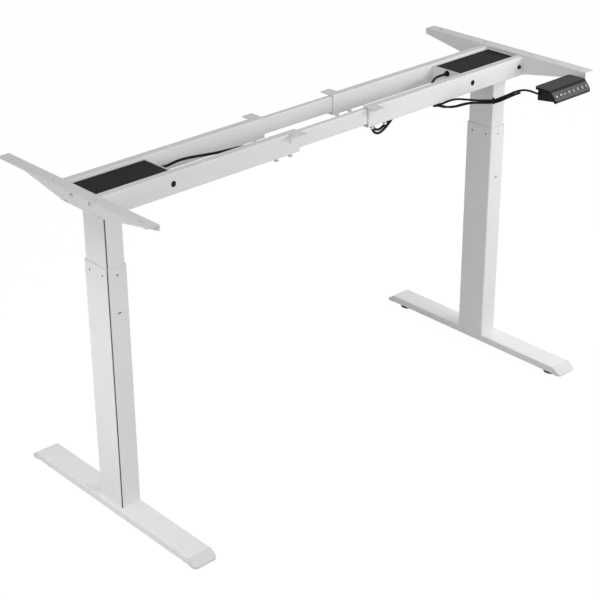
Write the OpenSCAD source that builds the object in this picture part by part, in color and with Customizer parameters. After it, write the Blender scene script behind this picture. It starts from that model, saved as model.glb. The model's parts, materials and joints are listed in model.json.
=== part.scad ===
// Height-adjustable desk frame: a telescoping beam on two telescoping legs with T feet,
// a motor in each end of the beam and a wired handset.
// X runs along the beam, -Y is the front, Z is up, and the floor is at zero.

/* [Overall] */
// Width over the outer edges of the two end brackets
frame_w = 1328; // [1140:2:1560]
// Height of the end brackets' top faces above the floor
frame_h = 783; // [700:1:1120]

/* [Beam] */
// Depth over the outer faces of the end rails
beam_d = 132; // [128:2:150]
// Height of an end rail
rail_h = 48; // [47:1:56]
// Width of an end rail's flanges
rail_flange = 18; // [16:1:19]
// Length of an end rail
rail_l = 528; // [500:2:540]
// Sheet thickness of the rails and the motor trays
sheet_t = 2; // [1.5:0.25:2.25]
// Outer radius of the bends in the rails and trays
bend_r = 3; // [2.5:0.25:4]
// Length of a centre rail
centre_l = 660; // [600:4:680]
// Height of a centre rail
centre_h = 38; // [35:1:38]
// Width of a centre rail's flanges
centre_flange = 12; // [10:1:13]
// Sliding gap between the centre rails and the end rails
slide_gap = 0.5; // [0.3:0.1:0.8]
// Step from the brackets' top faces down to the rails' top faces
rail_drop = 3; // [3:0.5:6]

/* [End brackets] */
// Length of a bracket, front to back
bracket_l = 508; // [440:4:580]
// Width of a bracket's flange
bracket_flange = 31; // [28:1:40]
// Sheet thickness of a bracket
bracket_t = 2.5; // [2:0.25:3]
// Depth of a bracket at its tips
bracket_tip_d = 14; // [10:1:20]
// Depth of a bracket at its middle
bracket_mid_d = 49; // [46:1:56]
// Length of a bracket's deep middle part
bracket_mid_l = 150; // [140:2:180]
// Distance between neighbouring desktop holes along a bracket
hole_pitch = 73.5; // [66:0.5:78]
// Width of a desktop slot
slot_w = 6.5; // [5:0.5:8]
// Length of a desktop slot
slot_l = 15; // [10:1:20]

/* [Motor housings] */
// Length of a motor tray
tray_l = 195; // [180:1:205]
// Height of a motor tray
tray_h = 41; // [38:1:42]
// Step from the rails' top faces down to a motor cover's top face
cover_drop = 6; // [4:0.5:8]
// Width of a motor cover
cover_w = 90; // [84:1:91]
// Wall of a motor cover
cover_t = 1.5; // [1:0.25:2]
// Diameter of a motor
motor_d = 34; // [30:1:35]
// Length of a motor
motor_l = 95; // [80:1:96]

/* [Legs] */
// Size of an outer tube, front to back
tube_d = 80; // [70:1:86]
// Size of an outer tube, across the foot
tube_w = 50; // [48:1:56]
// Wall of the tubes
tube_t = 1.5; // [1.2:0.1:1.8]
// Length of an outer tube
outer_l = 574; // [560:2:580]
// Length of an inner tube
inner_l = 592; // [560:2:594]
// Thickness of the glide between the two tubes
glide_t = 0.9; // [0.7:0.1:1.2]
// Distance from the end of the beam to the axis of a leg
leg_inset = 47; // [44:1:52]

/* [Drive] */
// Diameter of a lead screw
spindle_d = 16; // [12:1:18]
// Running clearance round a lead screw and its journal
running_gap = 0.05; // [0.02:0.01:0.08]
// Height of the nut pipe's top above the floor
pipe_top = 530; // [500:2:540]
// Outer diameter of a nut pipe
pipe_d = 30; // [28:1:34]

/* [Feet] */
// Length of a foot with its end caps
foot_l = 600; // [560:4:680]
// Width of a foot
foot_w = 60; // [56:1:80]
// Height of a foot's tube
foot_h = 18; // [17:1:24]
// Wall of a foot's tube
foot_t = 2; // [1.5:0.25:2.5]
// Height of a foot's underside above the floor
foot_rise = 12; // [11:0.5:16]
// Length of the part of an end cap that shows
cap_l = 22; // [18:1:30]
// Diameter of a levelling pad
pad_d = 38; // [30:1:44]

/* [Handset] */
// Width of the handset
hand_w = 127; // [120:1:140]
// Width of a push button
key_w = 8; // [6:0.5:9]

/* [Cords] */
// Diameter of the motor lead and the link cable
cable_d = 6; // [5:0.5:6]
// Diameter of the handset cord
cord_d = 5; // [4:0.5:5]

/* [Hidden] */
$fn = 32;

// Overrun of every cut past the face it goes through
over = 1;
// Gap between a screw's shank and the hole it is screwed into
thread_gap = 0.05;
// Gap between a push-fit piece and its seat
fit_gap = 0.1;

// Places along X, Y and Z that many pieces share
beam_end = frame_w / 2 - bracket_flange;
rail_top = frame_h - rail_drop;
rail_bottom = rail_top - rail_h;
tray_bottom = rail_bottom + sheet_t;
tray_floor = tray_bottom + sheet_t;
rail_mid = (rail_top + rail_bottom) / 2;
leg_x = beam_end - leg_inset;
foot_top = foot_rise + foot_h;
outer_top = foot_top + outer_l;
inner_bottom = tray_bottom - inner_l;
half_d = beam_d / 2;
centre_face = half_d - sheet_t - slide_gap;
centre_top = rail_top - sheet_t - slide_gap;
centre_bottom = centre_top - centre_h;
rear_shift = beam_d - rail_flange;
rear_face = rear_shift + sheet_t - half_d;
tray_front = sheet_t - half_d;
tray_rear = rear_shift - half_d;
tray_end = beam_end - tray_l;

// M6 pan head screw
screw_r = 3;
screw_l = 12;
head_r = 5.5;
head_h = 3.3;
socket_r = 2.3;
socket_d = 2;
clear_hole_r = 3.3;

// Places of the fasteners and holes on the beam
bracket_screw_y = 32;
rail_screw_in = 13;
plug_in = 181;
plug_size = [11.5, 13];
plug_rim = 1;
plug_proud = 0.6;
lug_l = 28;
lug_out = 24;
lug_drop = 22;
lug_t = 2.5;
lug_seat = 3;
lock_in = [20, 61];
flange_hole_in = 268;
flange_hole_r = 4;
centre_hole_x = 43.5;
centre_hole_r = 2.5;
drip_slot = [11, 3];
drip_slot_y = [51, -61];
drip_hole_y = -45;
drip_hole_r = 2.5;
drip_up = 3;
web_corner_r = 8;
flange_corner_r = 4;
small_hole_r = 2.5;

// The gearbox, its bolts and the plates above the tubes
top_plate_t = 4;
tube_bolt = [14, 29];
shaft_hole_r = 12;
gearbox_size = [44, 44, 34];
collar_r = 10;
collar_h = 4;
journal_r = 6;
journal_l = 18;
motor_nose_r = 11;
motor_nose_l = 5;

// Cable boots and the grommet of the handset cord
boot_y = 2;
boot_z = rail_top - 14;
boot_r = 5;
boot_rim_r = 7;
boot_rim_t = 2;
boot_l = 12;
grommet_y = -32;
grommet_z = rail_top - 34;

// Tube corners, studs of the glide and the foot's bolts
tube_r = 3;
glide_l = 150;
glide_rim = 1;
stud_r = 2.4;
stud_y = 22;
stud_down = 18;
stop_down = [104, 134];
stop_size = [9, 3];
stud_sink = 0.5;
foot_bolt = [13, 27];
foot_bolt_r = 4;
foot_bolt_l = 11;
foot_bolt_head_r = 6.5;
foot_bolt_head_h = 4;
access_r = 8;
base_plate_t = 4;
nut_rim_r = 17;
nut_r = 15;
nut_rim_h = 8;
nut_h = 30;
nut_spigot_l = 12;
pipe_t = 4;

// Feet
foot_out = 4;
foot_x = leg_x + foot_out;
foot_corner_r = 3;
cap_tip_h = 4;
cap_corner_r = 8;
cap_spigot_l = 12;
level_y = foot_l / 2 - 50;
pad_h = 5;
pad_slope = 1.5;
stud_rod_r = 4;
stud_rod_l = 15.5;
boss_r = 7;
boss_h = 10;

// Handset: its back, its sloping front and the places on the front
hand_in = 160.5;
hand_x = beam_end - hand_in;
hand_back = -234;
hand_brow = -281;
hand_lip = -299;
hand_top = rail_top + rail_drop;
hand_brow_drop = 3;
hand_lip_drop = 24;
hand_base_t = 4;
hand_plate_t = 6;
hand_box_in = 11;
hand_box_drop = 30;
hand_corner = 7;
panel_t = 1.6;
panel_margin = 2.5;
hand_hole_r = 2.2;
hand_hole_in = [20, 5.5];
key_proud = 0.5;
key_gap = 0.3;
key_h = 11;

// An arc of points round a centre
function arc(c, r, a, b, n = 4) =
    [for (i = [0:n]) let (t = a + (b - a) * i / n) [c[0] + r * cos(t), c[1] + r * sin(t)]];

// A rectangle with round corners, centred
function round_box(w, h, r) = concat(
    arc([w / 2 - r, h / 2 - r], r, 0, 90),
    arc([r - w / 2, h / 2 - r], r, 90, 180),
    arc([r - w / 2, r - h / 2], r, 180, 270),
    arc([w / 2 - r, r - h / 2], r, 270, 360)
);

// A folded channel: its web on the first axis's zero, its flanges pointing along it
function channel(h, flange, t, r) = concat(
    [[flange, 0]],
    arc([r, r], r, 270, 180),
    arc([r, h - r], r, 180, 90),
    [[flange, h], [flange, h - t]],
    arc([r, h - r], r - t, 90, 180),
    arc([r, r], r - t, 180, 270),
    [[flange, t]]
);

// A folded trough with its mouth upward, centred on the first axis
function trough(w, h, t, r) = concat(
    [[-w / 2, h]],
    arc([r - w / 2, r], r, 180, 270),
    arc([w / 2 - r, r], r, 270, 360),
    [[w / 2, h], [w / 2 - t, h]],
    arc([w / 2 - r, r], r - t, 360, 270),
    arc([r - w / 2, r], r - t, 270, 180),
    [[t - w / 2, h]]
);

// Extrudes a cross-section, drawn in Y and Z, along X
module along_x(l) {
    rotate([90, 0, 90]) linear_extrude(l) children();
}

// Extrudes a cross-section, drawn in X and Z, along Y
module along_y(l) {
    translate([0, l, 0]) rotate([90, 0, 0]) linear_extrude(l) children();
}

// A slot-shaped prism from zero upward, its length along Y
module slot(l, w, h) {
    translate([-w / 2, (w - l) / 2, 0]) cube([w, l - w, h]);
    for (s = [-1, 1]) translate([0, s * (l - w) / 2, 0]) cylinder(h = h, r = w / 2);
}

// A pan head screw whose head sits on zero, its shank pointing down
module screw(l = screw_l) {
    translate([0, 0, -l]) cylinder(h = l, r = screw_r);
    difference() {
        cylinder(h = head_h, r1 = head_r, r2 = head_r * 0.8);
        translate([0, 0, head_h - socket_d]) cylinder(h = head_h, r = socket_r, $fn = 6);
    }
}

// Repeats a piece at the front and the back of a foot
module front_and_rear() {
    children();
    mirror([0, 1, 0]) children();
}

// Repeats a piece of the front rail at the rear rail, whose web also faces the front
module both_rails() {
    children();
    translate([0, rear_shift, 0]) children();
}

// Repeats a piece that goes through a rail's web and a tray's wall, drawn inward from zero
module both_webs() {
    translate([0, -half_d, 0]) children();
    translate([0, rear_face, 0]) mirror([0, 1, 0]) children();
}

module on_left() {
    mirror([1, 0, 0]) children();
}

// Beam

module end_rail() {
    start = beam_end - rail_l;
    color("white") difference() {
        union() {
            translate([start, -half_d, rail_bottom]) along_x(rail_l)
                polygon(channel(rail_h, rail_flange, sheet_t, bend_r));
            children();
        }
        translate([beam_end - plug_in, -over - half_d, rail_mid]) plug_hole();
        translate([beam_end - rail_screw_in, sheet_t + over - half_d, rail_mid])
            rotate([90, 0, 0]) cylinder(h = sheet_t + 2 * over, r = clear_hole_r);
        translate([beam_end - flange_hole_in, (rail_flange + sheet_t) / 2 - half_d, rail_top - sheet_t - over])
            cylinder(h = sheet_t + 2 * over, r = flange_hole_r);
        for (d = lock_in) translate([start + d, lock_y, rail_bottom - over])
            cylinder(h = sheet_t + 2 * over, r = screw_r + thread_gap);
    }
}

// The tab at a rail's inner end, with a slot for a desktop screw, pointing outward from zero
module lug(seat) {
    translate([beam_end - rail_l, 0, rail_top - lug_t]) difference() {
        translate([0, -lug_out, 0]) cube([lug_l, lug_out + seat, lug_t]);
        translate([lug_l / 2, -lug_out / 2, -over]) slot_x(slot_l, slot_w, lug_t + 2 * over);
    }
}

module front_rail() {
    end_rail() translate([0, -half_d, 0]) {
        lug(0);
        translate([beam_end - rail_l, -lug_t, rail_top - lug_drop]) cube([lug_l, lug_t, lug_drop]);
    }
}

module rear_rail() {
    translate([0, rear_shift, 0]) end_rail()
        translate([0, rail_flange - half_d, 0]) mirror([0, 1, 0]) lug(lug_seat);
}

lock_y = (centre_flange / 2) - centre_face;

// The upright hole that a plug fills, through the rail and the tray behind it
module plug_hole() {
    rotate([-90, 90, 0])
        slot_x(plug_size[1] - 2 * plug_rim, plug_size[0] - 2 * plug_rim, 2 * (sheet_t + over));
}

// A slot-shaped prism from zero upward, its length along X
module slot_x(l, w, h) {
    rotate([0, 0, 90]) slot(l, w, h);
}

module end_plugs() {
    color([0.05, 0.05, 0.05]) both_webs() translate([beam_end - plug_in, 0, rail_mid]) rotate([-90, 90, 0]) {
        translate([0, 0, -plug_proud]) slot_x(plug_size[1], plug_size[0], plug_proud);
        slot_x(plug_size[1] - 2 * (plug_rim + fit_gap), plug_size[0] - 2 * (plug_rim + fit_gap), 2 * sheet_t);
    }
}

module centre_rail() {
    color("white") difference() {
        translate([-centre_l / 2, -centre_face, centre_bottom]) along_x(centre_l)
            polygon(channel(centre_h, centre_flange, sheet_t, bend_r));
        for (s = [-1, 1])
            translate([s * centre_hole_x, (centre_flange + sheet_t) / 2 - centre_face, centre_top - sheet_t - over])
                cylinder(h = sheet_t + 2 * over, r = centre_hole_r);
    }
}

module tray(cord_hole) {
    w = tray_rear - tray_front;
    color("white") difference() {
        union() {
            translate([tray_end, tray_front + w / 2, tray_bottom]) along_x(tray_l)
                polygon(trough(w, tray_h, sheet_t, bend_r));
            for (x = [tray_end, beam_end - sheet_t])
                translate([x, tray_front + sheet_t, tray_bottom + sheet_t / 2])
                    cube([sheet_t, w - 2 * sheet_t, tray_h - sheet_t / 2]);
        }
        translate([leg_x, 0, tray_bottom - over]) cylinder(h = sheet_t + 2 * over, r = shaft_hole_r);
        for (x = [-1, 1], y = [-1, 1])
            translate([leg_x + x * tube_bolt[0], y * tube_bolt[1], tray_bottom - over])
                cylinder(h = sheet_t + 2 * over, r = clear_hole_r);
        for (s = [-1, 1])
            translate([beam_end - sheet_t - over, s * bracket_screw_y, rail_mid]) rotate([0, 90, 0])
                cylinder(h = sheet_t + 2 * over, r = screw_r + thread_gap);
        both_webs() {
            translate([beam_end - rail_screw_in, 2 * sheet_t + over, rail_mid])
                rotate([90, 0, 0]) cylinder(h = sheet_t + 2 * over, r = screw_r + thread_gap);
            translate([beam_end - plug_in, -over, rail_mid]) plug_hole();
        }
        translate([tray_end - over, boot_y, boot_z]) rotate([0, 90, 0])
            cylinder(h = sheet_t + 2 * over, r = boot_r + fit_gap);
        if (cord_hole) translate([tray_end - over, grommet_y, grommet_z]) rotate([0, 90, 0])
            cylinder(h = sheet_t + 2 * over, r = boot_r + fit_gap);
    }
}

module cover() {
    h = rail_top - cover_drop - tray_floor;
    start = tray_end + sheet_t + boot_rim_t + fit_gap;
    color([0.12, 0.12, 0.12]) translate([start, 0, tray_floor + h]) mirror([0, 0, 1])
        along_x(beam_end - sheet_t - start) polygon(trough(cover_w, h, cover_t, bend_r));
}

module gearbox() {
    size = gearbox_size;
    color("silver") difference() {
        translate([leg_x - size[0] / 2, -size[1] / 2, tray_floor]) cube(size);
        translate([leg_x, 0, tray_floor - over])
            cylinder(h = collar_h + fit_gap + over, r = collar_r + 2 * fit_gap);
        translate([leg_x, 0, tray_floor])
            cylinder(h = collar_h + journal_l + fit_gap, r = journal_r + running_gap);
    }
}

module motor() {
    r = motor_d / 2;
    face = leg_x - gearbox_size[0] / 2;
    color([0.3, 0.3, 0.3]) translate([face, 0, tray_floor + gearbox_size[2] / 2]) rotate([0, -90, 0]) {
        rotate_extrude() polygon([
            [0, 0], [r, 0], [r, motor_l - motor_nose_l], [r - sheet_t, motor_l - motor_nose_l],
            [motor_nose_r, motor_l - motor_nose_l], [motor_nose_r, motor_l], [0, motor_l]
        ]);
    }
}

module bracket() {
    z = rail_top + rail_drop;
    l = bracket_l;
    web = concat(
        [[-l / 2, -bend_r], [-l / 2, -bracket_tip_d]],
        arc([web_corner_r - bracket_mid_l / 2, web_corner_r - bracket_mid_d], web_corner_r, 230, 270),
        arc([bracket_mid_l / 2 - web_corner_r, web_corner_r - bracket_mid_d], web_corner_r, 270, 310),
        [[l / 2, -bracket_tip_d], [l / 2, -bend_r]]
    );
    flange = concat(
        [[bend_r, -l / 2]],
        arc([bracket_flange - flange_corner_r, flange_corner_r - l / 2], flange_corner_r, 270, 360),
        arc([bracket_flange - flange_corner_r, l / 2 - flange_corner_r], flange_corner_r, 0, 90),
        [[bend_r, l / 2]]
    );
    bend = concat(arc([bend_r, -bend_r], bend_r, 90, 180), arc([bend_r, -bend_r], bend_r - bracket_t, 180, 90));
    color("white") translate([beam_end, 0, z]) difference() {
        union() {
            along_x(bracket_t) polygon(web);
            translate([0, 0, -bracket_t]) linear_extrude(bracket_t) polygon(flange);
            translate([0, -l / 2, 0]) along_y(l) polygon(bend);
        }
        for (i = [-3:3]) translate([(bracket_flange + bracket_t) / 2, i * hole_pitch, -bracket_t - over])
            if (i % 2 == 0) cylinder(h = bracket_t + 2 * over, r = small_hole_r);
            else slot(slot_l, slot_w, bracket_t + 2 * over);
        for (s = [-1, 1]) translate([-over, s * bracket_screw_y, rail_mid - z]) rotate([0, 90, 0])
            cylinder(h = bracket_t + 2 * over, r = clear_hole_r);
        for (y = drip_slot_y) translate([-over, y, drip_up - bracket_mid_d]) rotate([0, 90, 0])
            slot(drip_slot[0], drip_slot[1], bracket_t + 2 * over);
        translate([-over, drip_hole_y, drip_up - bracket_mid_d]) rotate([0, 90, 0])
            cylinder(h = bracket_t + 2 * over, r = drip_hole_r);
    }
}

module beam_screws() {
    start = beam_end - rail_l;
    color("silver") {
        for (s = [-1, 1]) translate([beam_end + bracket_t, s * bracket_screw_y, rail_mid])
            rotate([0, 90, 0]) screw();
        both_webs() translate([beam_end - rail_screw_in, 0, rail_mid]) rotate([90, 0, 0]) screw(2 * sheet_t);
        both_rails() for (d = lock_in)
            translate([start + d, lock_y, centre_bottom - slide_gap - screw_l]) rotate([180, 0, 0]) screw();
        for (x = [-1, 1], y = [-1, 1])
            translate([leg_x + x * tube_bolt[0], y * tube_bolt[1], tray_floor]) screw();
    }
}

// Boot of a cable that leaves the tray's end wall at a height, pointing inward along the beam
module boot(y, z, d) {
    color([0.06, 0.06, 0.06]) translate([tray_end + sheet_t, y, z]) rotate([0, -90, 0]) rotate_extrude()
        polygon([
            [0, -boot_rim_t], [boot_rim_r, -boot_rim_t], [boot_rim_r, 0], [boot_r, 0], [boot_r, sheet_t],
            [boot_rim_r, sheet_t], [boot_rim_r, sheet_t + boot_rim_t], [boot_r, sheet_t + boot_rim_t],
            [d / 2 + thread_gap, sheet_t + boot_l], [0, sheet_t + boot_l]
        ]);
}

module cable_boot() {
    boot(boot_y, boot_z, cable_d + 1);
}

module control() {
    color([0.1, 0.1, 0.1]) difference() {
        translate([control_x, control_y, tray_floor]) linear_extrude(control_size[2])
            polygon([for (p = round_box(control_size[0], control_size[1], foot_corner_r))
                [p[0] + control_size[0] / 2, p[1] + control_size[1] / 2]]);
        translate([control_x + control_size[0] / 2, control_y + control_size[1] / 2, tray_floor - over])
            cylinder(h = inlet_d + over, r = inlet_r);
    }
}

control_size = [96, 22, 28];
control_x = tray_end + 20;
control_y = -cover_w / 2 + cover_t;
inlet_r = 4;
inlet_d = 12;

// Legs

module tube_shell(w, d, t, l, r) {
    linear_extrude(l) difference() {
        polygon(round_box(w, d, r));
        polygon(round_box(w - 2 * t, d - 2 * t, r - t));
    }
}

inner_w = tube_w - 2 * (tube_t + glide_t + fit_gap);
inner_d = tube_d - 2 * (tube_t + glide_t + fit_gap);

module inner_tube() {
    color("white") translate([leg_x, 0, 0]) difference() {
        union() {
            translate([0, 0, inner_bottom]) tube_shell(inner_w, inner_d, tube_t, inner_l, tube_r);
            translate([0, 0, tray_bottom - top_plate_t]) linear_extrude(top_plate_t)
                polygon(round_box(inner_w, inner_d, tube_r));
        }
        translate([0, 0, tray_bottom - top_plate_t - over]) {
            cylinder(h = top_plate_t + 2 * over, r = shaft_hole_r);
            for (x = [-1, 1], y = [-1, 1]) translate([x * tube_bolt[0], y * tube_bolt[1], 0])
                cylinder(h = top_plate_t + 2 * over, r = screw_r + thread_gap);
        }
    }
}

module spindle() {
    z = tray_floor + fit_gap;
    color("gray") translate([leg_x, 0, 0]) {
        translate([0, 0, inner_bottom]) cylinder(h = z - inner_bottom, r = spindle_d / 2);
        translate([0, 0, z]) cylinder(h = collar_h - fit_gap, r = collar_r);
        translate([0, 0, z]) cylinder(h = collar_h + journal_l - fit_gap, r = journal_r);
    }
}

// The holes near the top of an outer tube that the glide's studs fill
module stud_holes(r, sink, grow, stops) {
    z = outer_top - stud_down;
    for (s = [-1, 1]) {
        for (y = [-1, 1]) translate([s * (tube_w / 2 - tube_t), y * stud_y, z]) rotate([0, s * 90, 0])
            cylinder(h = tube_t - sink, r = r);
        translate([0, s * (tube_d / 2 - tube_t), z]) rotate([-s * 90, 0, 0])
            cylinder(h = tube_t - sink, r = r);
        translate([0, s * (tube_d / 2 - tube_t), outer_top - stops[(s + 1) / 2]])
            rotate([-s * 90, 0, 0]) slot_x(stop_size[0] + grow, stop_size[1] + grow, tube_t - sink);
    }
}

module outer_tube(stops) {
    color("white") translate([leg_x, 0, 0]) difference() {
        union() {
            translate([0, 0, foot_top]) tube_shell(tube_w, tube_d, tube_t, outer_l, tube_r);
            translate([0, 0, foot_top]) linear_extrude(base_plate_t)
                polygon(round_box(tube_w, tube_d, tube_r));
        }
        stud_holes(stud_r + fit_gap, -over, 2 * fit_gap, stops);
        for (x = [-1, 1], y = [-1, 1])
            translate([x * foot_bolt[0], y * foot_bolt[1], foot_top - over])
                cylinder(h = base_plate_t + 2 * over, r = foot_bolt_r + thread_gap);
    }
}

module glide(stops) {
    w = tube_w - 2 * tube_t;
    d = tube_d - 2 * tube_t;
    color([0.8, 0.8, 0.8]) translate([leg_x, 0, 0]) {
        translate([0, 0, outer_top - glide_l]) tube_shell(w, d, glide_t, glide_l, tube_r - tube_t);
        translate([0, 0, outer_top])
            tube_shell(tube_w - glide_rim, tube_d - glide_rim, glide_t + tube_t - glide_rim / 2, glide_rim, tube_r);
        stud_holes(stud_r, stud_sink, 0, stops);
    }
}

module nut_pipe() {
    color("gray") translate([leg_x, 0, foot_top + base_plate_t]) difference() {
        cylinder(h = pipe_top - foot_top - base_plate_t, r = pipe_d / 2);
        translate([0, 0, -over]) cylinder(h = pipe_top, r = pipe_d / 2 - pipe_t);
    }
}

module spindle_nut() {
    color([0.85, 0.85, 0.8]) translate([leg_x, 0, pipe_top]) difference() {
        union() {
            translate([0, 0, -nut_spigot_l]) cylinder(h = nut_spigot_l + nut_h, r = pipe_d / 2 - pipe_t - fit_gap);
            cylinder(h = nut_rim_h, r = nut_rim_r);
            cylinder(h = nut_h, r = nut_r);
        }
        translate([0, 0, -nut_spigot_l - over])
            cylinder(h = nut_h + nut_spigot_l + 2 * over, r = spindle_d / 2 + running_gap);
    }
}

// Feet

module foot() {
    tube_l = foot_l - 2 * cap_l;
    color("white") difference() {
        union() {
            translate([foot_x, -tube_l / 2, foot_rise + foot_h / 2]) along_y(tube_l) difference() {
                polygon(round_box(foot_w, foot_h, foot_corner_r));
                polygon(round_box(foot_w - 2 * foot_t, foot_h - 2 * foot_t, foot_corner_r - foot_t));
            }
            for (s = [-1, 1]) translate([foot_x, s * level_y, foot_rise + foot_t / 2])
                cylinder(h = boss_h - foot_t / 2, r = boss_r);
        }
        for (s = [-1, 1]) translate([foot_x, s * level_y, foot_rise - over])
            cylinder(h = boss_h + 2 * over, r = stud_rod_r + running_gap);
        for (x = [-1, 1], y = [-1, 1]) translate([leg_x + x * foot_bolt[0], y * foot_bolt[1], 0]) {
            translate([0, 0, foot_rise - over]) cylinder(h = foot_t + 2 * over, r = access_r);
            translate([0, 0, foot_top - foot_t - over])
                cylinder(h = foot_t + 2 * over, r = foot_bolt_r + fit_gap);
        }
    }
}

module foot_cap() {
    y = foot_l / 2 - cap_l;
    side = concat([[0, 0], [cap_l, 0]], arc([cap_l - cap_tip_h / 2, cap_tip_h / 2], cap_tip_h / 2, 0, 60),
        [[0, foot_h]]);
    plan = concat([[-foot_w / 2, 0]], [[foot_w / 2, 0]],
        arc([foot_w / 2 - cap_corner_r, cap_l - cap_corner_r], cap_corner_r, 0, 90),
        arc([cap_corner_r - foot_w / 2, cap_l - cap_corner_r], cap_corner_r, 90, 180));
    translate([foot_x, y, foot_rise]) {
        intersection() {
            translate([-foot_w / 2, 0, 0]) along_x(foot_w) polygon(side);
            linear_extrude(foot_h) polygon(plan);
        }
        translate([0, -cap_spigot_l, foot_h / 2]) along_y(cap_spigot_l)
            polygon(round_box(foot_w - 2 * (foot_t + fit_gap), foot_h - 2 * (foot_t + fit_gap),
                foot_corner_r - foot_t));
    }
}

module foot_caps() {
    color([0.9, 0.9, 0.9]) front_and_rear() foot_cap();
}

module foot_screws() {
    color("silver") for (x = [-1, 1], y = [-1, 1])
        translate([leg_x + x * foot_bolt[0], y * foot_bolt[1], foot_top - foot_t]) {
            cylinder(h = foot_bolt_l, r = foot_bolt_r);
            translate([0, 0, -foot_bolt_head_h]) difference() {
                cylinder(h = foot_bolt_head_h, r = foot_bolt_head_r);
                translate([0, 0, -over]) cylinder(h = socket_d + over, r = socket_r, $fn = 6);
            }
        }
}

module leveller(s) {
    r = pad_d / 2;
    color([0.1, 0.1, 0.1]) translate([foot_x, s * level_y, 0]) {
        rotate_extrude() polygon([[0, 0], [r, 0], [r, pad_slope], [r - pad_slope, pad_h], [0, pad_h]]);
        cylinder(h = pad_h + stud_rod_l, r = stud_rod_r);
    }
}

// Handset

hand_slope = atan2(hand_lip_drop - hand_brow_drop, hand_brow - hand_lip);
panel_l = norm([hand_lip_drop - hand_brow_drop, hand_brow - hand_lip]);

// Puts a piece on the handset's sloping front: X along it, Y up the slope, Z out of it
module on_slope() {
    translate([hand_x, hand_lip, hand_top - hand_lip_drop]) rotate([hand_slope, 0, 0]) children();
}

// Prism of a handset piece from its side outline
module hand_prism(outline, inset) {
    intersection() {
        translate([hand_x + inset, 0, hand_top]) along_x(hand_w - 2 * inset) polygon(outline);
        translate([hand_x + hand_w / 2, (hand_back + hand_lip) / 2, hand_top - 2 * hand_lip_drop])
            linear_extrude(3 * hand_lip_drop)
            polygon(round_box(hand_w, hand_back - hand_lip, hand_corner));
    }
}

// Places of the keys along the panel: two arrows, the memory key and four presets
key_share = [0.09, 0.21, 0.44, 0.57, 0.69, 0.81, 0.93];

module key_pocket(i) {
    translate([key_share[i] * hand_w, panel_l / 2, 0])
        slot(key_h + 2 * key_gap, key_w + 2 * key_gap, 3 * panel_t);
}

module handset_case() {
    outline = [
        [hand_back, 0], [hand_back, -hand_plate_t], [hand_back - hand_box_in, -hand_plate_t],
        [hand_back - hand_box_in, -hand_box_drop], [hand_lip + 2 * hand_base_t, -hand_lip_drop],
        [hand_lip + hand_base_t, -hand_lip_drop - hand_base_t], [hand_lip, -hand_lip_drop],
        [hand_brow, -hand_brow_drop], [hand_brow + hand_brow_drop, 0]
    ];
    color([0.08, 0.08, 0.08]) difference() {
        hand_prism(outline, 0);
        on_slope() translate([panel_margin, panel_margin, -panel_t])
            cube([hand_w - 2 * panel_margin, panel_l - 2 * panel_margin, 2 * panel_t]);
        for (i = [0:6]) on_slope() translate([0, 0, -3 * panel_t]) key_pocket(i);
        for (x = [hand_hole_in[0], hand_w - hand_hole_in[0]])
            translate([hand_x + x, hand_back - hand_hole_in[1], hand_top - 2 * hand_plate_t])
                cylinder(h = 3 * hand_plate_t, r = hand_hole_r);
        translate([hand_x - over, cord_in_y, cord_in_z]) rotate([0, 90, 0])
            cylinder(h = outlet_d + over, r = cord_d / 2 + fit_gap);
    }
}

// The blind hole that the handset cord runs into
outlet_in = 17;
cord_in_y = hand_back - outlet_in;
cord_in_z = hand_top - 11;
outlet_d = 7.5;

module handset_panel() {
    color([0.03, 0.03, 0.03]) difference() {
        on_slope() translate([panel_margin + fit_gap, panel_margin + fit_gap, -panel_t])
            cube([hand_w - 2 * (panel_margin + fit_gap), panel_l - 2 * (panel_margin + fit_gap), panel_t]);
        for (i = [0:6]) on_slope() translate([0, 0, -2 * panel_t]) key_pocket(i);
    }
}

module key(i) {
    color([0.2, 0.2, 0.2]) on_slope() translate([key_share[i] * hand_w, panel_l / 2, -2 * panel_t])
        slot(key_h, key_w, 2 * panel_t + key_proud);
}

// Cords

function unit(v) = v / norm(v);
function spline(a, b, c, d, u) =
    (2 * b + (c - a) * u + (2 * a - 5 * b + 4 * c - d) * u * u + (3 * b - a - 3 * c + d) * u * u * u) / 2;
function smooth(p, k) = [
    for (i = [0:len(p) - 2])
        for (j = [0:k - 1])
            spline(p[max(i - 1, 0)], p[i], p[i + 1], p[min(i + 2, len(p) - 1)], j / k),
    p[len(p) - 1]
];
function tangents(p) = [for (i = [0:len(p) - 1]) unit(p[min(i + 1, len(p) - 1)] - p[max(i - 1, 0)])];
function carry(t, i, n) = i >= len(t) ? [] :
    let (m = unit(n - (n * t[i]) * t[i])) concat([m], carry(t, i + 1, m));

// A tube of a diameter that follows the points, with flat ends
module tube(p, d, sides) {
    t = tangents(p);
    n = carry(t, 0, cross(t[0], [0.3, 0.2, 1]));
    last = len(p) - 1;
    points = [for (i = [0:last], j = [0:sides - 1])
        let (a = 360 * j / sides) p[i] + d / 2 * (cos(a) * n[i] + sin(a) * cross(t[i], n[i]))];
    walls = [for (i = [0:last - 1], j = [0:sides - 1])
        let (a = i * sides + j, b = i * sides + (j + 1) % sides)
        each [[a, a + sides, b], [b, a + sides, b + sides]]];
    caps = [for (j = [1:sides - 2])
        each [[0, j, j + 1], [last * sides, last * sides + j + 1, last * sides + j]]];
    polyhedron(points, concat(walls, caps));
}

// The least gap between parts of a cord that are not neighbours along it
function least_gap(p, d, skip) = min([for (i = [0:len(p) - 1 - skip], j = [i + skip:len(p) - 1])
    norm(p[i] - p[j])]) - d;

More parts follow.
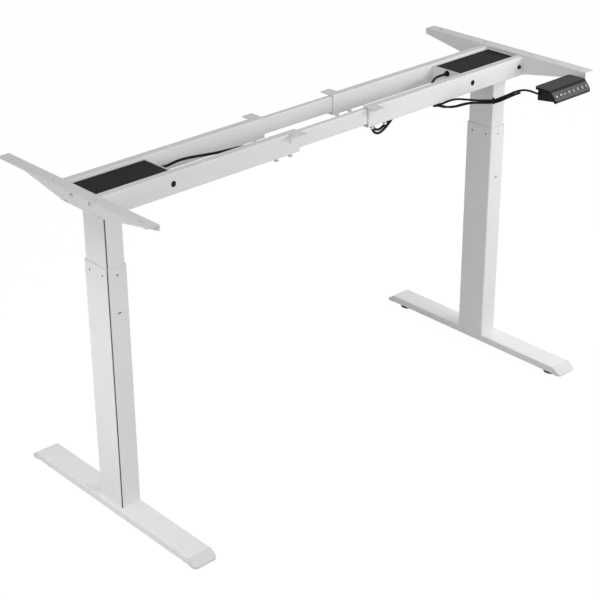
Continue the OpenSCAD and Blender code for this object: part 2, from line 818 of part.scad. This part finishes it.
// From the left boot, over the front rail's lip and along the centre rail to the coupler
lead_route = [
    [-426, 2, 766], [-420, 2, 766], [-412, 2, 766], [-385, 0, 770], [-355, -4, 770], [-325, -9, 768],
    [-295, -13, 766], [-265, -16, 765], [-235, -19, 764], [-210, -24, 762], [-188, -33, 758],
    [-170, -43, 752], [-150, -51, 747], [-125, -55, 746], [-100, -56, 746], [-75, -56, 746],
    [-50, -56, 747], [-34, -56, 747], [-26, -56, 747], [-20, -56, 747]
];

// From the coupler, out of the centre rail in one hanging turn, back into it and to the boot
link_route = [
    [20, -56, 747], [26, -56, 747], [34, -56, 747], [50, -56, 746], [75, -56, 746], [98, -54, 746], [116, -48, 743],
    [128, -44, 733], [138, -44, 717], [147, -44, 705], [159, -44, 700], [173, -44, 703],
    [187, -44, 711], [201, -44, 722], [213, -44, 735], [212, -42, 750], [198, -39, 759],
    [178, -36, 760], [159, -35, 752], [149, -35, 737], [149, -35, 721], [157, -35, 708],
    [171, -35, 704], [187, -35, 710], [203, -36, 721], [219, -40, 733], [237, -46, 742],
    [256, -53, 746], [276, -55, 747], [298, -52, 748], [320, -43, 751], [345, -30, 758],
    [370, -14, 765], [392, -3, 767], [412, 2, 766], [420, 2, 766], [426, 2, 766]
];

// From the grommet under the front rail, out and back in a tied hank and up to the handset
hand_route = [
    [426, -32, 746], [420, -32, 746], [410, -32, 745], [394, -32, 742], [376, -32, 737],
    [363, -35, 731], [356, -42, 725], [359, -49, 719], [368, -54, 715], [382, -60, 711],
    [394, -69, 712], [409, -80, 716], [418, -92, 720], [424, -108, 724], [427, -124, 728],
    [431, -136, 732], [436, -146, 735], [442, -158, 740], [450, -168, 745], [460, -179, 751],
    [468, -191, 757], [462, -201, 762], [454, -203, 763], [448, -194, 758], [443, -180, 749],
    [437, -162, 738], [431, -150, 733], [421, -135, 731], [410, -120, 730], [399, -106, 729],
    [388, -97, 727], [373, -87, 723], [359, -78, 722], [345, -74, 724], [335, -74, 728],
    [328, -69, 730], [326, -62, 728], [331, -56, 726], [341, -55, 726], [352, -61, 727],
    [361, -71, 733], [370, -79, 737], [380, -86, 738], [390, -95, 737], [400, -105, 736],
    [410, -120, 736], [421, -135, 737], [431, -150, 739], [437, -162, 745], [444, -182, 757],
    [449, -198, 767], [452, -218, 775], [454, -234, 777], [458, -245, 775], [464, -250, 772],
    [470, -251, 772], [480, -251, 772]
];
// Middle of the hank's waist, where the tie is, and the way that the cord runs there
tie_at = [432.8, -148.6, 736.3];
tie_turn = [0, 77, -58.6];
tie_r = 6.7;
tie_t = 1.2;
tie_w = 4;

link_points = smooth(link_route, 2);

module motor_lead() {
    color([0.05, 0.05, 0.05]) tube(smooth(lead_route, 2), cable_d, 8);
}

module link_cable() {
    echo(link_cable_least_gap = least_gap(link_points, cable_d, 5));
    color([0.05, 0.05, 0.05]) tube(link_points, cable_d, 8);
}

module handset_cord() {
    echo(handset_cord_least_gap = least_gap(hand_route, cord_d, 5));
    color([0.05, 0.05, 0.05]) tube(hand_route, cord_d, 8);
}

coupler_size = [40, 9, 10];

module coupler() {
    color([0.05, 0.05, 0.05]) translate([-coupler_size[0] / 2, sheet_t - centre_face, centre_bottom + bend_r])
        cube(coupler_size);
}

module tie() {
    color([0.05, 0.05, 0.05]) translate(tie_at) rotate(tie_turn) translate([0, 0, -tie_w / 2])
        difference() {
            cylinder(h = tie_w, r = tie_r + tie_t);
            translate([0, 0, -over]) cylinder(h = tie_w + 2 * over, r = tie_r);
        }
}

// Sub-parts

module left_front_rail() on_left() front_rail();
module left_rear_rail() on_left() rear_rail();
module left_motor_tray() on_left() tray(false);
module left_motor_cover() on_left() cover();
module left_gearbox() on_left() gearbox();
module left_motor() on_left() motor();
module left_bracket() on_left() bracket();
module left_screws() on_left() beam_screws();
module left_rail_plugs() on_left() end_plugs();
module left_cable_boot() on_left() cable_boot();
module left_inner_tube() on_left() inner_tube();
module left_spindle() on_left() spindle();
module left_outer_tube() on_left() outer_tube([stop_down[0], stop_down[1]]);
module left_glide_insert() on_left() glide([stop_down[0], stop_down[1]]);
module left_nut_pipe() on_left() nut_pipe();
module left_spindle_nut() on_left() spindle_nut();
module left_foot() on_left() foot();
module left_foot_caps() on_left() foot_caps();
module left_foot_screws() on_left() foot_screws();
module left_front_leveller() on_left() leveller(-1);
module left_rear_leveller() on_left() leveller(1);
module right_front_rail() front_rail();
module right_rear_rail() rear_rail();
module right_motor_tray() tray(true);
module right_motor_cover() cover();
module right_gearbox() gearbox();
module right_motor() motor();
module right_bracket() bracket();
module right_screws() beam_screws();
module right_rail_plugs() end_plugs();
module right_cable_boot() cable_boot();
module right_inner_tube() inner_tube();
module right_spindle() spindle();
module right_outer_tube() outer_tube([stop_down[1], stop_down[0]]);
module right_glide_insert() glide([stop_down[1], stop_down[0]]);
module right_nut_pipe() nut_pipe();
module right_spindle_nut() spindle_nut();
module right_foot() foot();
module right_foot_caps() foot_caps();
module right_foot_screws() foot_screws();
module right_front_leveller() leveller(-1);
module right_rear_leveller() leveller(1);
module front_centre_rail() centre_rail();
module rear_centre_rail() translate([0, rear_shift, 0]) centre_rail();
module cable_coupler() coupler();
module control_unit() control();
module up_key() key(0);
module down_key() key(1);
module memory_key() key(2);
module preset_key_1() key(3);
module preset_key_2() key(4);
module preset_key_3() key(5);
module preset_key_4() key(6);
module cord_tie() tie();
module handset_grommet() boot(grommet_y, grommet_z, cord_d + 1);

left_front_rail();
left_rear_rail();
left_motor_tray();
left_motor_cover();
left_gearbox();
left_motor();
left_bracket();
left_screws();
left_rail_plugs();
left_cable_boot();
left_inner_tube();
left_spindle();
left_outer_tube();
left_glide_insert();
left_nut_pipe();
left_spindle_nut();
left_foot();
left_foot_caps();
left_foot_screws();
left_front_leveller();
left_rear_leveller();
right_front_rail();
right_rear_rail();
right_motor_tray();
right_motor_cover();
right_gearbox();
right_motor();
right_bracket();
right_screws();
right_rail_plugs();
right_cable_boot();
right_inner_tube();
right_spindle();
right_outer_tube();
right_glide_insert();
right_nut_pipe();
right_spindle_nut();
right_foot();
right_foot_caps();
right_foot_screws();
right_front_leveller();
right_rear_leveller();
front_centre_rail();
rear_centre_rail();
motor_lead();
link_cable();
cable_coupler();
control_unit();
handset_case();
handset_panel();
up_key();
down_key();
memory_key();
preset_key_1();
preset_key_2();
preset_key_3();
preset_key_4();
handset_cord();
cord_tie();
handset_grommet();
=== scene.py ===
import json
import math

import bpy
from mathutils import Matrix, Vector


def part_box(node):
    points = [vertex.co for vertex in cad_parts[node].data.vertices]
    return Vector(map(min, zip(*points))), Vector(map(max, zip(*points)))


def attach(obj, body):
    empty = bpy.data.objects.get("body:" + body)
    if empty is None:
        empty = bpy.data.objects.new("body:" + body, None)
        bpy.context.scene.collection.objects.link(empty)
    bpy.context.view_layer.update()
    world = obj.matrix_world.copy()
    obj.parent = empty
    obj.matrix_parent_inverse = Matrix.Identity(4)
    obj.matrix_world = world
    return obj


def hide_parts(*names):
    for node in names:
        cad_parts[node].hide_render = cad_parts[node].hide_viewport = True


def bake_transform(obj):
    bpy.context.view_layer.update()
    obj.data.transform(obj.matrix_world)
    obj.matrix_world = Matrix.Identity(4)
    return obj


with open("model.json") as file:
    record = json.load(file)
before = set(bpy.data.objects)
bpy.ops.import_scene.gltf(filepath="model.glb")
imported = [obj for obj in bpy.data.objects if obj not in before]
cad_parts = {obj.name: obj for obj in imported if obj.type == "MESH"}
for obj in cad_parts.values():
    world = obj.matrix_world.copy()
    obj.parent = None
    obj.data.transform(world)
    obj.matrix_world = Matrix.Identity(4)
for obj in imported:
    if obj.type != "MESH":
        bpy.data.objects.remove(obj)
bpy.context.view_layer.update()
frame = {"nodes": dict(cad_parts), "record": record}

MM = 0.001
NODES = frame["nodes"]
SLOT_OF = {s["node"]: s["material_slot"] for s in frame["record"]["subparts"]}


# Camera at the photograph's place

CAMERA_AT = Vector((-2223.5, -2367.5, 1949.1)) * MM
CAMERA_AZIMUTH = math.radians(40.4)
CAMERA_DROP = math.radians(25.6)
CAMERA_ROLL = math.radians(-1.3)
LENS_SHARE = 1547.3 / 600
SENSOR = 36.0
SHIFT = (0.09, -0.05)
CLIP_END = 100


def make_camera():
    a, e, r = CAMERA_AZIMUTH, CAMERA_DROP, CAMERA_ROLL
    ahead = Vector((math.sin(a) * math.cos(e), math.cos(a) * math.cos(e), -math.sin(e)))
    right = Vector((math.cos(a), -math.sin(a), 0))
    up = right.cross(ahead)
    side = right * math.cos(r) + up * math.sin(r)
    top = up * math.cos(r) - right * math.sin(r)
    data = bpy.data.cameras.new("camera")
    data.sensor_width = SENSOR
    data.lens = SENSOR * LENS_SHARE
    data.shift_x, data.shift_y = SHIFT
    data.clip_end = CLIP_END
    camera = bpy.data.objects.new("camera", data)
    bpy.context.scene.collection.objects.link(camera)
    turn = Matrix((side, top, -ahead)).transposed().to_4x4()
    camera.matrix_world = Matrix.Translation(CAMERA_AT) @ turn
    bpy.context.scene.camera = camera


# Cords: the routes are those of the CAD source, in millimetres

CABLE_D = 6
CORD_D = 5
TUBE_SIDES = 14

LEAD_ROUTE = [
    [-426, 2, 766], [-420, 2, 766], [-412, 2, 766], [-385, 0, 770], [-355, -4, 770], [-325, -9, 768],
    [-295, -13, 766], [-265, -16, 765], [-235, -19, 764], [-210, -24, 762], [-188, -33, 758],
    [-170, -43, 752], [-150, -51, 747], [-125, -55, 746], [-100, -56, 746], [-75, -56, 746],
    [-50, -56, 747], [-34, -56, 747], [-26, -56, 747], [-20, -56, 747]
]
LINK_ROUTE = [
    [20, -56, 747], [26, -56, 747], [34, -56, 747], [50, -56, 746], [75, -56, 746],
    [98, -54, 746], [116, -48, 743], [128, -44, 733], [138, -44, 717], [147, -44, 705],
    [159, -44, 700], [173, -44, 703],
    [187, -44, 711], [201, -44, 722], [213, -44, 735], [212, -42, 750], [198, -39, 759],
    [178, -36, 760], [159, -35, 752], [149, -35, 737], [149, -35, 721], [157, -35, 708],
    [171, -35, 704], [187, -35, 710], [203, -36, 721], [219, -40, 733], [237, -46, 742],
    [256, -53, 746], [276, -55, 747], [298, -52, 748], [320, -43, 751], [345, -30, 758],
    [370, -14, 765], [392, -3, 767], [412, 2, 766], [420, 2, 766], [426, 2, 766]
]
HAND_ROUTE = [
    [426, -32, 746], [420, -32, 746], [410, -32, 745], [394, -32, 742], [376, -32, 737],
    [363, -35, 731], [356, -42, 725], [359, -49, 719], [368, -54, 715], [382, -60, 711],
    [394, -69, 712], [409, -80, 716], [418, -92, 720], [424, -108, 724], [427, -124, 728],
    [431, -136, 732], [436, -146, 735], [442, -158, 740], [450, -168, 745], [460, -179, 751],
    [468, -191, 757], [462, -201, 762], [454, -203, 763], [448, -194, 758], [443, -180, 749],
    [437, -162, 738], [431, -150, 733], [421, -135, 731], [410, -120, 730], [399, -106, 729],
    [388, -97, 727], [373, -87, 723], [359, -78, 722], [345, -74, 724], [335, -74, 728],
    [328, -69, 730], [326, -62, 728], [331, -56, 726], [341, -55, 726], [352, -61, 727],
    [361, -71, 733], [370, -79, 737], [380, -86, 738], [390, -95, 737], [400, -105, 736],
    [410, -120, 736], [421, -135, 737], [431, -150, 739], [437, -162, 745], [444, -182, 757],
    [449, -198, 767], [452, -218, 775], [454, -234, 777], [458, -245, 775], [464, -250, 772],
    [470, -251, 772], [480, -251, 772]
]


def smooth(route, steps=4):
    """Points in metres on a curve through a route given in millimetres."""
    p = [Vector(q) * MM for q in route]
    out = []
    for i in range(len(p) - 1):
        a, b, c, d = p[max(i - 1, 0)], p[i], p[i + 1], p[min(i + 2, len(p) - 1)]
        for k in range(steps):
            u = k / steps
            out.append((2 * b + (c - a) * u + (2 * a - 5 * b + 4 * c - d) * u * u
                        + (3 * b - a - 3 * c + d) * u ** 3) / 2)
    return out + [p[-1]]


def tube_mesh(name, points, diameter, sides=TUBE_SIDES):
    """A closed tube that follows the points."""
    last = len(points) - 1
    ways = [(points[min(i + 1, last)] - points[max(i - 1, 0)]).normalized() for i in range(last + 1)]
    normal = ways[0].orthogonal().normalized()
    verts, faces = [], []
    for i, (at, way) in enumerate(zip(points, ways)):
        normal = (normal - way * normal.dot(way)).normalized()
        across = way.cross(normal)
        for j in range(sides):
            t = 2 * math.pi * j / sides
            verts.append(at + (normal * math.cos(t) + across * math.sin(t)) * diameter / 2)
        if i:
            for j in range(sides):
                k = (j + 1) % sides
                a, b = (i - 1) * sides, i * sides
                faces.append((a + j, a + k, b + k, b + j))
    faces.append(tuple(reversed(range(sides))))
    faces.append(tuple(last * sides + j for j in range(sides)))
    mesh = bpy.data.meshes.new(name)
    mesh.from_pydata(verts, [], faces)
    for polygon in mesh.polygons:
        polygon.use_smooth = len(polygon.vertices) == 4
    piece = bpy.data.objects.new(name, mesh)
    bpy.context.scene.collection.objects.link(piece)
    return piece


def length_of(points):
    return sum((b - a).length for a, b in zip(points, points[1:]))


def make_cord(name, node, route, diameter, pieces, **facts):
    points = smooth(route)
    cord = tube_mesh(name, points, diameter * MM)
    cord.data.materials.append(MATERIALS["cord_jacket"])
    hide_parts(node)
    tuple(points[0])
    length_of(points)
    return cord


def make_cords():
    lead = make_cord("lead_cord", "motor_lead", LEAD_ROUTE, CABLE_D, ["cable_coupler"],
                     far_end="connector", stiffness="medium", lay="loose")
    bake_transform(lead)
    link = make_cord("link_cord", "link_cable", LINK_ROUTE, CABLE_D, [],
                     far_end="object", stiffness="medium", lay="hanging")
    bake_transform(link)
    hand = make_cord("hand_cord", "handset_cord", HAND_ROUTE, CORD_D, ["cord_tie"],
                     far_end="object", stiffness="limp", lay="coiled")
    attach(hand, "right_end")


# Materials

def new_material(name):
    material = bpy.data.materials.new(name)
    material.use_nodes = True
    nodes, links = material.node_tree.nodes, material.node_tree.links
    return material, nodes, links, nodes["Principled BSDF"]


def noise(nodes, links, scale, detail=3.0, stretch=(1, 1, 1)):
    """A noise texture in the object's own metres."""
    place = nodes.new("ShaderNodeTexCoord")
    mapping = nodes.new("ShaderNodeMapping")
    mapping.inputs["Scale"].default_value = stretch
    texture = nodes.new("ShaderNodeTexNoise")
    texture.inputs["Scale"].default_value = scale
    texture.inputs["Detail"].default_value = detail
    links.new(place.outputs["Object"], mapping.inputs["Vector"])
    links.new(mapping.outputs["Vector"], texture.inputs["Vector"])
    return texture


def vary(nodes, links, texture, low, high, socket):
    """Feeds a noise to a socket between two values or colours."""
    ramp = nodes.new("ShaderNodeMapRange")
    ramp.inputs["From Min"].default_value = 0.3
    ramp.inputs["From Max"].default_value = 0.7
    links.new(texture.outputs["Fac"], ramp.inputs["Value"])
    if isinstance(low, (int, float)):
        ramp.inputs["To Min"].default_value = low
        ramp.inputs["To Max"].default_value = high
        links.new(ramp.outputs["Result"], socket)
        return
    mix = nodes.new("ShaderNodeMix")
    mix.data_type = "RGBA"
    mix.inputs["A"].default_value = (*low, 1)
    mix.inputs["B"].default_value = (*high, 1)
    links.new(ramp.outputs["Result"], mix.inputs["Factor"])
    links.new(mix.outputs["Result"], socket)


def bump(nodes, links, shader, texture, strength, distance, edge=0.0):
    """Relief from a noise, with edges rounded in the shading where edge is above zero."""
    relief = nodes.new("ShaderNodeBump")
    relief.inputs["Strength"].default_value = strength
    relief.inputs["Distance"].default_value = distance
    links.new(texture.outputs["Fac"], relief.inputs["Height"])
    if edge:
        soft = nodes.new("ShaderNodeBevel")
        soft.samples = 4
        soft.inputs["Radius"].default_value = edge
        links.new(soft.outputs["Normal"], relief.inputs["Normal"])
    links.new(relief.outputs["Normal"], shader.inputs["Normal"])


def coated(name, low, high, rough, grain=900, strength=0.08, edge=0.0006, shine=0.5):
    """Powder-coated or moulded surface with a fine orange peel."""
    material, nodes, links, shader = new_material(name)
    shader.inputs["Specular IOR Level"].default_value = shine
    wide = noise(nodes, links, 9, 2)
    fine = noise(nodes, links, grain, 2)
    vary(nodes, links, wide, low, high, shader.inputs["Base Color"])
    vary(nodes, links, wide, rough[0], rough[1], shader.inputs["Roughness"])
    bump(nodes, links, shader, fine, strength, 0.0003, edge)
    return material


def metal(name, low, high, rough, stretch=(1, 1, 1)):
    """Bare metal with a fine lay."""
    material, nodes, links, shader = new_material(name)
    fine = noise(nodes, links, 400, 3, stretch)
    shader.inputs["Metallic"].default_value = 1
    vary(nodes, links, fine, low, high, shader.inputs["Base Color"])
    vary(nodes, links, fine, rough[0], rough[1], shader.inputs["Roughness"])
    bump(nodes, links, shader, fine, 0.05, 0.0002, 0.0003)
    return material


def grey(value, tint=0.0):
    return (value, value, value + tint)


def make_materials():
    return {
        "white_paint": coated("white_paint", grey(0.80), grey(0.83), (0.36, 0.44)),
        "black_sheet": coated("black_sheet", grey(0.004), grey(0.008), (0.5, 0.6), 1200, 0.12, shine=0.06),
        "cast_alloy": metal("cast_alloy", grey(0.45), grey(0.6), (0.4, 0.55)),
        "motor_can": metal("motor_can", grey(0.12), grey(0.17), (0.35, 0.5), (20, 1, 1)),
        "bare_steel": metal("bare_steel", grey(0.4), grey(0.52), (0.25, 0.4), (1, 1, 20)),
        "zinc_screw": metal("zinc_screw", grey(0.5, 0.02), grey(0.66, 0.03), (0.25, 0.38)),
        "white_plastic": coated("white_plastic", grey(0.70), grey(0.74), (0.45, 0.55), 1500, 0.1),
        "natural_plastic": coated("natural_plastic", (0.7, 0.7, 0.64), (0.76, 0.76, 0.7), (0.4, 0.5)),
        "black_plastic": coated("black_plastic", grey(0.008), grey(0.012), (0.45, 0.55), 1500, 0.15,
                                shine=0.15),
        "black_rubber": coated("black_rubber", grey(0.004), grey(0.007), (0.6, 0.75), 1500, 0.2, shine=0.15),
        "panel_gloss": coated("panel_gloss", grey(0.05), grey(0.058), (0.35, 0.45), 1500, 0.05),
        "cord_jacket": coated("cord_jacket", grey(0.003), grey(0.005), (0.5, 0.62), 1500, 0.15, 0, 0.15),
        # Dark grey for the glide's stud ends: painted shade of the outer tube's holes, not the plastic's own
        # colour
        "painted_hole_shade": coated("painted_hole_shade", grey(0.09), grey(0.12), (0.5, 0.6), 1500, 0.05, 0),
        "mark_white": coated("mark_white", grey(0.75), grey(0.8), (0.5, 0.6), 1500, 0.02, 0),
    }


def corner_line(name, node, reach=0.0022):
    """White paint with a dark line down the tube's front left corner."""
    material = coated(name, grey(0.80), grey(0.83), (0.36, 0.44))
    nodes, links = material.node_tree.nodes, material.node_tree.links
    shader = nodes["Principled BSDF"]
    paint = shader.inputs["Base Color"].links[0].from_socket
    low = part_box(node)[0]
    place = nodes.new("ShaderNodeTexCoord")
    away = nodes.new("ShaderNodeVectorMath")
    away.operation = "SUBTRACT"
    away.inputs[1].default_value = (low[0], low[1], 0)
    flat = nodes.new("ShaderNodeVectorMath")
    flat.operation = "MULTIPLY"
    flat.inputs[1].default_value = (1, 1, 0)
    length = nodes.new("ShaderNodeVectorMath")
    length.operation = "LENGTH"
    near = nodes.new("ShaderNodeMath")
    near.operation = "LESS_THAN"
    near.inputs[1].default_value = reach
    mix = nodes.new("ShaderNodeMix")
    mix.data_type = "RGBA"
    mix.inputs["B"].default_value = (0.07, 0.07, 0.07, 1)
    links.new(place.outputs["Object"], away.inputs[0])
    links.new(away.outputs["Vector"], flat.inputs[0])
    links.new(flat.outputs["Vector"], length.inputs[0])
    links.new(length.outputs["Value"], near.inputs[0])
    links.new(near.outputs[0], mix.inputs["Factor"])
    links.new(paint, mix.inputs["A"])
    links.new(mix.outputs["Result"], shader.inputs["Base Color"])
    return material


def paint(node, material, second=None, chosen=None):
    """Gives a node its material, and a second one to the faces that chosen picks by their centre."""
    node.data.materials.clear()
    node.data.materials.append(material)
    if second:
        node.data.materials.append(second)
    for polygon in node.data.polygons:
        polygon.material_index = 1 if second and chosen(polygon.center) else 0


# Depth of the glide's outer skin that holds the studs' ends, and height of its rim, in millimetres
STUD_SKIN = 0.3
GLIDE_RIM = 5
# Distance of the rails' outer faces from the beam's middle, in millimetres
RAIL_FACE = 66


def hole_shade_faces(node):
    """Picks the ends of the glide's studs and stops, which fill the holes of the outer tube; these ends get
    a dark grey that is painted shade, standing for the dark inside the holes.
    """
    low, high = (Vector(corner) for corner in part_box(node))
    middle, half = (low + high) / 2, (high - low) / 2
    skin = STUD_SKIN * MM

    def chosen(at):
        outside = abs(at.x - middle.x) > half.x - skin or abs(at.y - middle.y) > half.y - skin
        return at.z < high.z - GLIDE_RIM * MM and outside

    return chosen


def rail_face_screws(at):
    """Picks the screw heads that stand out of the front rail."""
    return at.y < -RAIL_FACE * MM


def dress_nodes():
    for name, node in NODES.items():
        material = MATERIALS[SLOT_OF[name]]
        if name.endswith("glide_insert"):
            # The stud ends that fill the outer tube's holes get the dark grey of painted shade
            paint(node, material, MATERIALS["painted_hole_shade"], hole_shade_faces(name))
        elif name.endswith("_screws") and "foot" not in name:
            paint(node, material, MATERIALS["black_plastic"], rail_face_screws)
        elif name in ("left_outer_tube", "left_inner_tube"):
            paint(node, corner_line(name, name))
        else:
            paint(node, material)


# Handset marks: sizes in millimetres, shares of the handset's width counted from its left end

HAND_X = 472.5
HAND_LIP = (-299, 759)
HAND_BROW = (-281, 780)
HAND_W = 127
KEY_SHARES = [0.09, 0.21, 0.44, 0.57, 0.69, 0.81, 0.93]
KEY_NODES = ["up_key", "down_key", "memory_key", "preset_key_1", "preset_key_2", "preset_key_3",
             "preset_key_4"]
# Height of a key above the panel, and thickness of a mark
KEY_FACE = 0.5
MARK_RISE = 0.12
MARK_SIZE = 7.0
DISPLAY_SHARE = 0.325


def slope_frame():
    """Matrix of the handset's sloping front: X along it, Y up the slope, Z out of it."""
    up = Vector((0, HAND_BROW[0] - HAND_LIP[0], HAND_BROW[1] - HAND_LIP[1]))
    run = up.length
    up = up.normalized()
    along = Vector((1, 0, 0))
    out = along.cross(up)
    turn = Matrix((along, up, out)).transposed().to_4x4()
    at = Vector((HAND_X, HAND_LIP[0], HAND_LIP[1])) * MM
    return Matrix.Translation(at) @ turn, run


def flat_mark(name, outline, share, rise, body, material="mark_white"):
    """A thin plate of an outline in millimetres, on the handset's front."""
    place, run = slope_frame()
    centre = Vector((share * HAND_W, run / 2, rise))
    n = len(outline)
    verts = [place @ ((Vector((x, y, z)) + centre) * MM) for z in (0, MARK_RISE) for x, y in outline]
    faces = [tuple(reversed(range(n))), tuple(range(n, 2 * n))]
    faces += [(i, (i + 1) % n, n + (i + 1) % n, n + i) for i in range(n)]
    mesh = bpy.data.meshes.new(name)
    mesh.from_pydata(verts, [], faces)
    mesh.materials.append(MATERIALS[material])
    piece = bpy.data.objects.new(name, mesh)
    bpy.context.scene.collection.objects.link(piece)
    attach(piece, body)


def bar(x0, y0, x1, y1):
    return [(x0, y0), (x1, y0), (x1, y1), (x0, y1)]


def make_marks():
    """Arrows, a letter and digits on the keys, and digits on the display; s is half a mark's height."""
    s = MARK_SIZE / 2
    flat_mark("mark_up", [(-s * 0.8, -s * 0.6), (s * 0.8, -s * 0.6), (0, s * 0.8)],
              KEY_SHARES[0], KEY_FACE, KEY_NODES[0])
    flat_mark("mark_down", [(-s * 0.8, s * 0.6), (0, -s * 0.8), (s * 0.8, s * 0.6)],
              KEY_SHARES[1], KEY_FACE, KEY_NODES[1])
    w = s * 0.22
    m = s * 0.62
    letter = [(-m, -s), (-m + w, -s), (-m + w, s * 0.3), (0, -s * 0.35), (m - w, s * 0.3), (m - w, -s),
              (m, -s), (m, s), (m - w, s), (0, s * 0.15), (-m + w, s), (-m, s)]
    flat_mark("mark_memory", letter, KEY_SHARES[2], KEY_FACE, KEY_NODES[2])
    digits = {
        "1": [bar(-w, -s, w, s)],
        "2": [bar(-m, s - w, m, s), bar(-m, -w / 2, m, w / 2), bar(-m, -s, m, w - s),
              bar(m - w, 0, m, s), bar(-m, -s, w - m, 0)],
        "3": [bar(-m, s - w, m, s), bar(-m, -w / 2, m, w / 2), bar(-m, -s, m, w - s),
              bar(m - w, -s, m, s)],
        "4": [bar(-m, 0, w - m, s), bar(-m, -w / 2, m, w / 2), bar(m - w, -s, m, s)],
    }
    for i, digit in enumerate("1234"):
        for k, outline in enumerate(digits[digit]):
            flat_mark(f"mark_preset_{digit}_{k}", outline, KEY_SHARES[3 + i], KEY_FACE, KEY_NODES[3 + i])
    flat_mark("display_window", bar(-s * 1.7, -s * 1.25, s * 1.7, s * 1.25), DISPLAY_SHARE, 0,
              "right_end", "black_plastic")
    for k, x in enumerate((-s, 0, s)):
        for j, outline in enumerate(digits["2" if k == 0 else "3"]):
            flat_mark(f"display_{k}_{j}", [(px * 0.6 + x * 0.95, py * 0.75) for px, py in outline],
                      DISPLAY_SHARE, MARK_RISE, "right_end")


# Light, floor and world

def lamp(name, at, target, size, power):
    data = bpy.data.lights.new(name, "AREA")
    data.shape = "RECTANGLE"
    data.size, data.size_y = size
    data.energy = power
    light = bpy.data.objects.new(name, data)
    bpy.context.scene.collection.objects.link(light)
    way = (Vector(target) - Vector(at)).normalized()
    light.matrix_world = Matrix.Translation(Vector(at)) @ way.to_track_quat("-Z", "Y").to_matrix().to_4x4()
    light.visible_camera = False


def seen_directly(nodes, links):
    """1 for camera, glossy and transmission rays, otherwise 0."""
    path = nodes.new("ShaderNodeLightPath")
    first = nodes.new("ShaderNodeMath")
    first.operation = "MAXIMUM"
    links.new(path.outputs["Is Camera Ray"], first.inputs[0])
    links.new(path.outputs["Is Glossy Ray"], first.inputs[1])
    second = nodes.new("ShaderNodeMath")
    second.operation = "MAXIMUM"
    links.new(first.outputs[0], second.inputs[0])
    links.new(path.outputs["Is Transmission Ray"], second.inputs[1])
    return second.outputs[0]


def make_world(ambient=0.33):
    """White where it is seen, and dimmer as light."""
    world = bpy.data.worlds.new("world")
    bpy.context.scene.world = world
    world.use_nodes = True
    nodes, links = world.node_tree.nodes, world.node_tree.links
    light = nodes["Background"]
    light.inputs["Color"].default_value = (1, 1, 1, 1)
    light.inputs["Strength"].default_value = ambient
    white = nodes.new("ShaderNodeBackground")
    white.inputs["Color"].default_value = (1, 1, 1, 1)
    white.inputs["Strength"].default_value = 1
    mix = nodes.new("ShaderNodeMixShader")
    links.new(seen_directly(nodes, links), mix.inputs[0])
    links.new(light.outputs[0], mix.inputs[1])
    links.new(white.outputs[0], mix.inputs[2])
    links.new(mix.outputs[0], nodes["World Output"].inputs["Surface"])


def make_floor(half=9.0, shine=0.9, albedo=0.55, glow_strength=1.08):
    """A floor that keeps the shadows in its light and looks nearly white where it is seen."""
    mesh = bpy.data.meshes.new("floor")
    mesh.from_pydata([(-half, -half, 0), (half, -half, 0), (half, half, 0), (-half, half, 0)], [],
                     [(0, 1, 2, 3)])
    floor = bpy.data.objects.new("floor", mesh)
    bpy.context.scene.collection.objects.link(floor)
    material, nodes, links, shader = new_material("floor")
    shader.inputs["Base Color"].default_value = (albedo, albedo, albedo, 1)
    shader.inputs["Roughness"].default_value = 0.9
    glow = nodes.new("ShaderNodeEmission")
    glow.inputs["Strength"].default_value = glow_strength
    mix = nodes.new("ShaderNodeMixShader")
    share = nodes.new("ShaderNodeMath")
    share.operation = "MULTIPLY"
    share.inputs[1].default_value = shine
    links.new(seen_directly(nodes, links), share.inputs[0])
    links.new(share.outputs[0], mix.inputs[0])
    links.new(shader.outputs[0], mix.inputs[1])
    links.new(glow.outputs[0], mix.inputs[2])
    links.new(mix.outputs[0], nodes["Material Output"].inputs["Surface"])
    mesh.materials.append(material)


def make_light():
    """Lamps by place, target and size in metres, and power in watts."""
    make_world()
    make_floor()
    lamp("left_light", (-2.4, -0.5, 1.5), (-0.6, 0, 0.5), (1.0, 1.0), 14.3)
    lamp("front_light", (1.5, -1.9, 1.35), (0.5, 0, 0.5), (1.2, 1.0), 23)
    lamp("left_beam_light", (-0.8, -0.9, 1.15), (-0.4, 0, 0.75), (0.8, 0.3), 0.9)
    lamp("right_beam_light", (0.6, -0.9, 1.15), (0.3, 0, 0.75), (0.8, 0.3), 2.4)
    lamp("left_foot_light", (-1.1, 0.05, 0.7), (-1.1, 0.05, 0), (0.4, 1.3), 3.2)
    lamp("right_foot_light", (1.2, 0.05, 0.7), (1.2, 0.05, 0), (0.3, 1.3), 4)


MATERIALS = make_materials()
make_camera()
make_cords()
dress_nodes()
make_marks()
make_light()
bpy.context.scene.view_settings.view_transform = "Standard"
